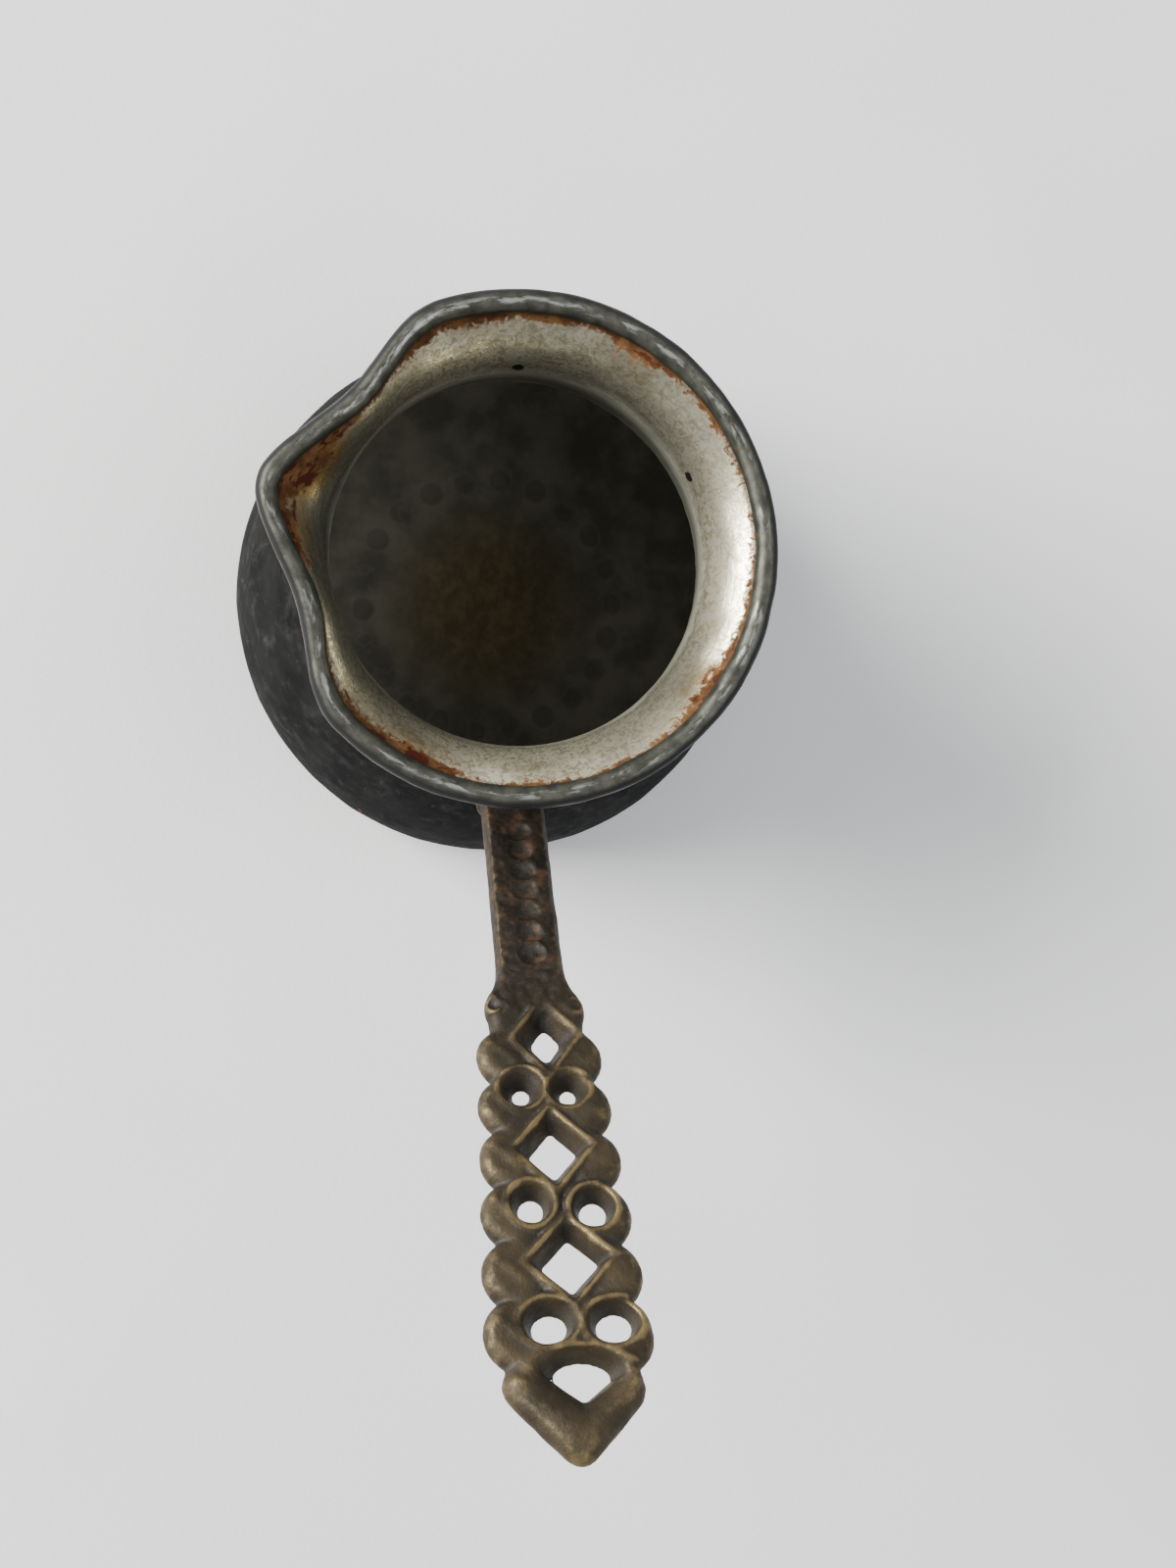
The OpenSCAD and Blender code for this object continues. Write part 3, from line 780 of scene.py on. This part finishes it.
# ---- materials ----
class Graph:
    """A material's node tree, with a short call for each kind of node that the metals use."""

    def __init__(self, name):
        self.material = bpy.data.materials.new(name)
        self.material.use_nodes = True
        self.tree = self.material.node_tree
        self.tree.nodes.clear()
        self.place = self.node("ShaderNodeTexCoord").outputs["Object"]

    def node(self, kind, **settings):
        made = self.tree.nodes.new(kind)
        for key, value in settings.items():
            setattr(made, key, value)
        return made

    def feed(self, socket, value):
        if isinstance(value, bpy.types.NodeSocket):
            self.tree.links.new(value, socket)
        elif value is not None:
            socket.default_value = value

    def attribute(self, name):
        return self.node("ShaderNodeAttribute", attribute_name=name).outputs["Fac"]

    def math(self, operation, a, b=None, clamp=False):
        made = self.node("ShaderNodeMath", operation=operation, use_clamp=clamp)
        self.feed(made.inputs[0], a)
        self.feed(made.inputs[1], b)
        return made.outputs[0]

    def times(self, a, b):
        return self.math("MULTIPLY", a, b)

    def plus(self, a, b):
        return self.math("ADD", a, b)

    def step(self, value, low, high):
        """0 at low and 1 at high, with a smooth way between them."""
        made = self.node("ShaderNodeMapRange", interpolation_type="SMOOTHSTEP")
        self.feed(made.inputs["Value"], value)
        flipped = low > high
        made.inputs["From Min"].default_value = min(low, high)
        made.inputs["From Max"].default_value = max(low, high)
        made.inputs["To Min"].default_value = 1.0 if flipped else 0.0
        made.inputs["To Max"].default_value = 0.0 if flipped else 1.0
        return made.outputs["Result"]

    def noise(self, size, detail=3.0, rough=0.55, stretch=(1, 1, 1), distortion=0.0):
        """Noise from about 0 to 1 whose lumps are size millimetres across."""
        scale = self.node("ShaderNodeMapping")
        self.feed(scale.inputs["Vector"], self.place)
        scale.inputs["Scale"].default_value = [s / (size * MM) for s in stretch]
        made = self.node("ShaderNodeTexNoise")
        self.feed(made.inputs["Vector"], scale.outputs[0])
        made.inputs["Scale"].default_value = 1.0
        made.inputs["Detail"].default_value = detail
        made.inputs["Roughness"].default_value = rough
        made.inputs["Distortion"].default_value = distortion
        return made.outputs["Fac"]

    def wrapped_noise(self, flow, around, across, detail, rough):
        """Noise laid round the pot's axis, with lumps of around by across millimetres and no seam.
        flow is the distance along the sheet's section, in millimetres."""
        split = self.node("ShaderNodeSeparateXYZ")
        self.feed(split.inputs[0], self.place)
        turn = self.math("ARCTAN2", split.outputs[1], split.outputs[0])
        join = self.node("ShaderNodeCombineXYZ")
        for axis, trig in enumerate(("COSINE", "SINE")):
            self.feed(join.inputs[axis], self.times(self.math(trig, turn), RIM_R / around))
        self.feed(join.inputs[2], self.times(flow, 1 / across))
        made = self.node("ShaderNodeTexNoise")
        self.feed(made.inputs["Vector"], join.outputs[0])
        made.inputs["Scale"].default_value = 1.0
        made.inputs["Detail"].default_value = detail
        made.inputs["Roughness"].default_value = rough
        return made.outputs["Fac"]

    def cells(self, size):
        """Distance from the nearest of a scatter of points, size millimetres apart."""
        made = self.node("ShaderNodeTexVoronoi", feature="F1")
        self.feed(made.inputs["Vector"], self.place)
        made.inputs["Scale"].default_value = 1 / (size * MM)
        return made.outputs["Distance"]

    def mix(self, share, a, b):
        made = self.node("ShaderNodeMix", data_type="RGBA")
        self.feed(made.inputs[0], share)
        for socket, colour in ((made.inputs[6], a), (made.inputs[7], b)):
            self.feed(socket, (*colour, 1) if isinstance(colour, tuple) else colour)
        return made.outputs[2]

    def blend(self, share, a, b):
        made = self.node("ShaderNodeMix", data_type="FLOAT")
        for socket, value in zip(made.inputs[:4], (share, None, a, b)):
            self.feed(socket, value)
        return made.outputs[0]

    def finish(self, colour, roughness, metallic, bump, depth, **fixed):
        """bump is a height from 0 to 1, worth depth millimetres."""
        relief = self.node("ShaderNodeBump")
        relief.inputs["Strength"].default_value = 1.0
        relief.inputs["Distance"].default_value = depth * MM
        self.feed(relief.inputs["Height"], bump)
        shader = self.node("ShaderNodeBsdfPrincipled")
        self.feed(shader.inputs["Base Color"], colour)
        self.feed(shader.inputs["Roughness"], roughness)
        self.feed(shader.inputs["Metallic"], metallic)
        self.feed(shader.inputs["Normal"], relief.outputs[0])
        for key, value in fixed.items():
            shader.inputs[key.replace("_", " ")].default_value = value
        output = self.node("ShaderNodeOutputMaterial")
        self.tree.links.new(shader.outputs[0], output.inputs["Surface"])
        return self.material


def tin_inside(g, uneven, noise):
    """Tin on the flare, bright where worn clean and where a glare of the key light is painted on, fading to
    dull tin and painted shade, then a painted near-black shade down the neck, and dull tin below.
    """
    tin = g.mix(g.step(noise.mottle, 0.36, 0.6), (0.43, 0.385, 0.25), (0.95, 0.89, 0.68))
    tin = g.mix(g.times(g.step(noise.spots, 0.64, 0.72), 0.5), tin, (0.2, 0.17, 0.12))
    dull = g.mix(g.step(noise.streaks, 0.3, 0.7), (0.105, 0.106, 0.084), (0.215, 0.213, 0.17))
    # Away from those places the tin is painted dull: partly stale tin, partly the absence of the painted
    # highlight
    stale_and_unglared = g.times(g.math("SUBTRACT", 1.0, g.attribute("wiped_and_glare"), clamp=True), 0.62)
    tin = g.mix(stale_and_unglared, tin, dull)
    # Near the beak the tin turns dull: partly dirt, partly painted shadow
    tin = g.mix(g.times(g.attribute("lip"), 0.75), tin, dull)
    # Down towards the neck the bright tin fades to dull: partly duller tin, partly painted shade
    inside = g.mix(g.step(uneven, -15.0, -8.5), dull, tin)
    pit = g.plus(g.attribute("pit"), g.times(g.math("SUBTRACT", noise.spots, 0.5), 0.9))
    inside = g.mix(g.step(pit, 0.5, 0.6), inside, (0.03, 0.026, 0.02))
    deep = g.mix(g.step(noise.coarse, 0.35, 0.65), (0.145, 0.141, 0.111), (0.245, 0.23, 0.176))
    # A near-black band at the neck: painted shade where the light falls off into the pot
    inside = g.mix(g.step(uneven, -12.5, -19.0), inside, (0.07, 0.071, 0.057))
    return g.mix(g.step(uneven, -21.0, -30.0), inside, deep)


def floor_stains(g, inside, noise):
    """A brown stain in the middle of the floor, and the punched marks, dark with a pale edge."""
    split = g.node("ShaderNodeSeparateXYZ")
    g.feed(split.inputs[0], g.place)
    squares = [g.math("POWER", split.outputs[axis], 2.0) for axis in (0, 1)]
    away = g.math("POWER", g.plus(*squares), 0.5)
    low = g.step(split.outputs[2], 0.006, 0.003)
    brown = g.times(g.step(away, 0.026, 0.008), low)
    stain = g.mix(g.step(noise.medium, 0.35, 0.7), (0.14, 0.113, 0.062), (0.21, 0.168, 0.09))
    inside = g.mix(brown, inside, stain)
    mark = g.times(g.attribute("mark"), g.step(noise.coarse, 0.38, 0.6))
    inside = g.mix(g.times(g.step(mark, 0.02, 0.4), 0.32), inside, (0.05, 0.05, 0.044))
    edge = g.times(g.step(mark, 0.0, 0.04), g.step(mark, 0.2, 0.06))
    return g.mix(g.times(edge, 0.25), inside, (0.24, 0.22, 0.16))


def rust_under_roll(g, flow, inside, noise):
    """Rust in the crease under the roll, thicker where dirt gathers; gives the colour and its share."""
    heavy = g.plus(g.times(g.step(noise.patches, 0.42, 0.66), 0.35), g.attribute("rusty"))
    edge = g.times(g.math("SUBTRACT", noise.spots, 0.5), 5.5)
    band = g.plus(g.plus(flow, edge), g.times(heavy, 2.3))
    share = g.times(g.step(band, -0.9, 0.3), g.step(flow, 0.9, 0.1))
    ochre = g.times(g.step(band, -5.5, -0.4), g.plus(g.times(heavy, 0.6), 0.08))
    inside = g.mix(ochre, inside, (0.17, 0.115, 0.048))
    rust = g.mix(g.step(noise.medium, 0.35, 0.65), (0.06, 0.026, 0.011), (0.125, 0.062, 0.024))
    clots = g.step(g.wrapped_noise(flow, 3.0, 1.3, 3.0, 0.6), 0.5, 0.58)
    rust = g.mix(g.times(clots, heavy), rust, (0.045, 0.012, 0.006))
    return g.mix(share, inside, rust), share


def rolled_rim(g, flow, noise):
    """A groove painted dark as shade, pewter painted pale in patches along its crest as rubbed wear and
    painted highlight, and dark outside.
    """
    crest = g.times(g.step(flow, 2.1, 2.8), g.step(flow, 3.8, 3.1))
    pewter = g.mix(g.step(noise.medium, 0.3, 0.7), (0.042, 0.043, 0.035), (0.09, 0.09, 0.073))
    # The groove beside the crease is painted dark: painted shade
    pewter = g.mix(g.times(g.step(flow, 1.7, 0.7), 0.6), pewter, (0.04, 0.038, 0.03))
    # Pale patches on the crest: partly rubbed wear, partly painted highlight
    rubbed = g.times(g.times(g.step(noise.wear, 0.5, 0.64), crest), 0.6)
    pewter = g.mix(rubbed, pewter, (0.42, 0.43, 0.4))
    pewter = g.mix(g.times(g.step(noise.spots, 0.62, 0.72), 0.5), pewter, (0.1, 0.05, 0.028))
    pewter = g.mix(g.step(flow, 3.5, 4.5), pewter, (0.018, 0.019, 0.018))
    worn_edge = g.times(g.times(g.step(flow, 5.0, 5.7), g.step(noise.patches, 0.4, 0.6)), 0.55)
    return g.mix(worn_edge, pewter, (0.11, 0.05, 0.036))


def slate_outside(g, noise):
    """Dark slate with worn paler clouds, a painted sheen on the hammer facets' edges, faint scratches and a
    few copper chips.
    """
    slate = g.mix(g.step(noise.coarse, 0.3, 0.7), (0.0048, 0.005, 0.0048), (0.0105, 0.011, 0.0103))
    slate = g.mix(g.times(g.step(noise.medium, 0.58, 0.78), 0.45), slate, (0.032, 0.033, 0.032))
    # The facets' edges are painted lighter: a painted sheen standing in for their specular shine
    ridge = g.times(g.step(g.attribute("dish"), 0.86, 0.6), g.step(noise.medium, 0.4, 0.65))
    slate = g.mix(g.times(ridge, 0.3), slate, (0.032, 0.033, 0.032))
    scratches = g.step(g.noise(1.4, 2.0, 0.5, stretch=(1, 1, 0.12)), 0.66, 0.74)
    slate = g.mix(g.times(scratches, 0.22), slate, (0.06, 0.062, 0.059))
    chips = g.step(g.noise(4.2, 1.0, 0.4), 0.795, 0.81)
    return g.mix(chips, slate, (0.33, 0.17, 0.12))


def tinned_copper():
    """The whole sheet: tin inside, pewter on the roll and slate outside, told apart by the skin attribute."""
    g = Graph("tinned_copper")
    flow, skin = g.attribute("flow"), g.attribute("skin")
    noise = SimpleNamespace(
        coarse=g.noise(9.0),
        medium=g.noise(2.6, 4.0, 0.6),
        spots=g.noise(1.5, 4.0, 0.65, distortion=0.6),
        mottle=g.noise(1.1, 3.0, 0.6, distortion=1.2),
        patches=g.wrapped_noise(flow, 14.0, 5.0, 2.0, 0.5),
        streaks=g.wrapped_noise(flow, 9.0, 0.7, 4.0, 0.6),
        wear=g.wrapped_noise(flow, 5.0, 1.1, 4.0, 0.62),
    )
    uneven = g.plus(flow, g.times(g.math("SUBTRACT", noise.coarse, 0.5), 4.0))
    inside = floor_stains(g, tin_inside(g, uneven, noise), noise)
    inside, rust_share = rust_under_roll(g, flow, inside, noise)
    past_inside, past_roll = g.step(skin, 0.4, 0.6), g.step(skin, 1.4, 1.6)
    colour = g.mix(past_inside, inside, rolled_rim(g, flow, noise))
    colour = g.mix(past_roll, colour, slate_outside(g, noise))
    bright = g.step(uneven, -16.0, -10.5)
    rough_in = g.blend(bright, 0.62, g.blend(g.step(noise.mottle, 0.3, 0.7), 0.38, 0.25))
    rough_in = g.blend(rust_share, rough_in, 0.8)
    rough = g.blend(past_inside, rough_in, g.blend(g.step(noise.wear, 0.4, 0.65), 0.5, 0.3))
    rough = g.blend(past_roll, rough, g.blend(g.step(noise.medium, 0.35, 0.65), 0.92, 0.82))
    metal_in = g.times(g.times(bright, 0.85), g.math("SUBTRACT", 1.0, rust_share))
    metal = g.blend(past_inside, metal_in, g.blend(g.step(flow, 3.7, 4.7), 0.65, 0.1))
    metal = g.blend(past_roll, metal, 0.0)
    bump = g.plus(g.times(noise.medium, 0.7), g.times(noise.streaks, 0.3))
    return g.finish(colour, rough, metal, bump, 0.1, Specular_IOR_Level=0.06)


def cast_brass():
    """Brass, darker towards the pot, with grime in its hollows and a rubbed shine on what stands up."""
    g = Graph("cast_brass")
    along = g.attribute("along")
    fine_relief, broad_relief = g.attribute("fine_relief"), g.attribute("broad_relief")
    coarse, medium, fine = g.noise(6.0), g.noise(1.7, 4.0, 0.6), g.noise(0.45, 3.0, 0.65)
    end = g.step(along, 38.0, 62.0)
    dark = g.mix(g.step(coarse, 0.35, 0.65), (0.014, 0.0105, 0.0068), (0.029, 0.0205, 0.0125))
    body = g.mix(g.step(coarse, 0.35, 0.65), (0.025, 0.0185, 0.0095), (0.052, 0.038, 0.0185))
    body = g.mix(end, dark, body)
    raised = g.plus(g.times(fine_relief, 5.0), g.times(broad_relief, 2.2))
    raised = g.plus(raised, g.times(g.math("SUBTRACT", medium, 0.5), 1.8))
    grime = g.step(raised, 0.2, -0.8)
    colour = g.mix(g.times(grime, 0.8), body, (0.0125, 0.0095, 0.0058))
    polish = g.times(g.step(raised, 0.6, 1.7), g.blend(end, 0.3, 0.75))
    colour = g.mix(polish, colour, (0.22, 0.158, 0.068))
    red = g.times(g.step(g.noise(3.0, 2.0), 0.5, 0.68), g.step(along, 46.0, 38.0))
    colour = g.mix(g.times(red, 0.4), colour, (0.1, 0.047, 0.025))
    speckle = g.times(g.step(fine, 0.6, 0.72), 0.3)
    colour = g.mix(speckle, colour, (0.115, 0.083, 0.04))
    rough = g.blend(polish, g.blend(g.step(medium, 0.3, 0.7), 0.68, 0.52), 0.38)
    metal = g.blend(grime, 0.65, 0.3)
    bump = g.plus(g.times(medium, 0.5), g.times(fine, 0.5))
    return g.finish(colour, rough, metal, bump, 0.16)


def copper_rivet():
    g = Graph("copper_rivet")
    medium, fine = g.noise(2.0, 4.0, 0.6), g.noise(0.5, 3.0, 0.6)
    colour = g.mix(g.step(medium, 0.35, 0.65), (0.09, 0.045, 0.03), (0.22, 0.1, 0.06))
    colour = g.mix(g.times(g.step(fine, 0.55, 0.7), 0.6), colour, (0.045, 0.03, 0.024))
    rough = g.blend(g.step(medium, 0.35, 0.65), 0.6, 0.4)
    facets = g.cells(1.9)
    bump = g.plus(g.times(facets, 0.7), g.times(fine, 0.3))
    return g.finish(colour, rough, 0.8, bump, 0.25)


def iron_wire():
    g = Graph("iron_wire")
    medium, fine = g.noise(1.6, 4.0, 0.6), g.noise(0.4, 3.0, 0.6)
    colour = g.mix(g.step(medium, 0.4, 0.62), (0.05, 0.045, 0.042), (0.16, 0.07, 0.03))
    rough = g.blend(g.step(fine, 0.3, 0.7), 0.75, 0.5)
    return g.finish(colour, rough, 0.6, fine, 0.08)


def pale_floor():
    g = Graph("pale_floor")
    tone = g.mix(g.step(g.noise(90.0, 2.0), 0.35, 0.65), (0.74, 0.745, 0.74), (0.78, 0.78, 0.77))
    return g.finish(tone, 0.9, 0.0, g.noise(1.2, 2.0), 0.05)


def give_material(node, material):
    """Gives a CAD node's own mesh a better material."""
    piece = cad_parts[node]
    for place in piece.material_slots:
        place.material = material


# ---- camera, floor and light ----
CAMERA_AT = Vector((-21.3, -30.7, 325.4)) * MM
CAMERA_RIGHT = Vector((0.9914, -0.0367, 0.1255))
CAMERA_UP = Vector((0.0391, 0.9991, -0.0161))
LENS_MM = 36.0
SENSOR_MM = 36.0

FLOOR_HALF = 5.0
WORLD_COLOUR = (0.92, 0.95, 1.0, 1)
WORLD_STRENGTH = 0.62
LIGHT_AIM = (0.0, -0.03, 0.05)


def add_camera():
    data = bpy.data.cameras.new("photo_view")
    data.lens = LENS_MM
    data.sensor_width = SENSOR_MM
    data.clip_start = 0.01
    camera = bpy.data.objects.new("photo_view", data)
    right = CAMERA_RIGHT.normalized()
    back = right.cross(CAMERA_UP).normalized()
    up = back.cross(right)
    turned = Matrix((right, up, back)).transposed().to_4x4()
    camera.matrix_world = Matrix.Translation(CAMERA_AT) @ turned
    bpy.context.scene.collection.objects.link(camera)
    bpy.context.scene.camera = camera


def add_area(name, place, aim, size, watts, colour):
    data = bpy.data.lights.new(name, "AREA")
    data.shape = "SQUARE"
    data.size = size
    data.energy = watts
    data.color = colour
    lamp = bpy.data.objects.new(name, data)
    lamp.location = place
    lamp.rotation_euler = (Vector(aim) - Vector(place)).to_track_quat("-Z", "Y").to_euler()
    bpy.context.scene.collection.objects.link(lamp)


def add_stage():
    mesh = bpy.data.meshes.new("floor")
    corners = [(x * FLOOR_HALF, y * FLOOR_HALF, 0) for x, y in ((-1, -1), (1, -1), (1, 1), (-1, 1))]
    mesh.from_pydata(corners, [], [(0, 1, 2, 3)])
    mesh.materials.append(pale_floor())
    floor = bpy.data.objects.new("floor", mesh)
    bpy.context.scene.collection.objects.link(floor)
    world = bpy.data.worlds.new("studio")
    world.use_nodes = True
    world.node_tree.nodes["Background"].inputs["Color"].default_value = WORLD_COLOUR
    world.node_tree.nodes["Background"].inputs["Strength"].default_value = WORLD_STRENGTH
    bpy.context.scene.world = world
    add_area("key", (-1.3, 0.5, 0.85), LIGHT_AIM, 1.0, 86.0, (1.0, 0.99, 0.97))
    add_area("fill", (0.9, -0.3, 1.2), LIGHT_AIM, 1.4, 12.0, (0.97, 0.98, 1.0))


# ---- the object ----
add_camera()
add_stage()

body = pot_body(tinned_copper())
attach(body, "root")
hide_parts("pot_shell")

handle = casting(cast_brass())
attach(handle, "root")
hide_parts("handle")

give_material("rim_wire", iron_wire())
give_material("handle_rivets", copper_rivet())
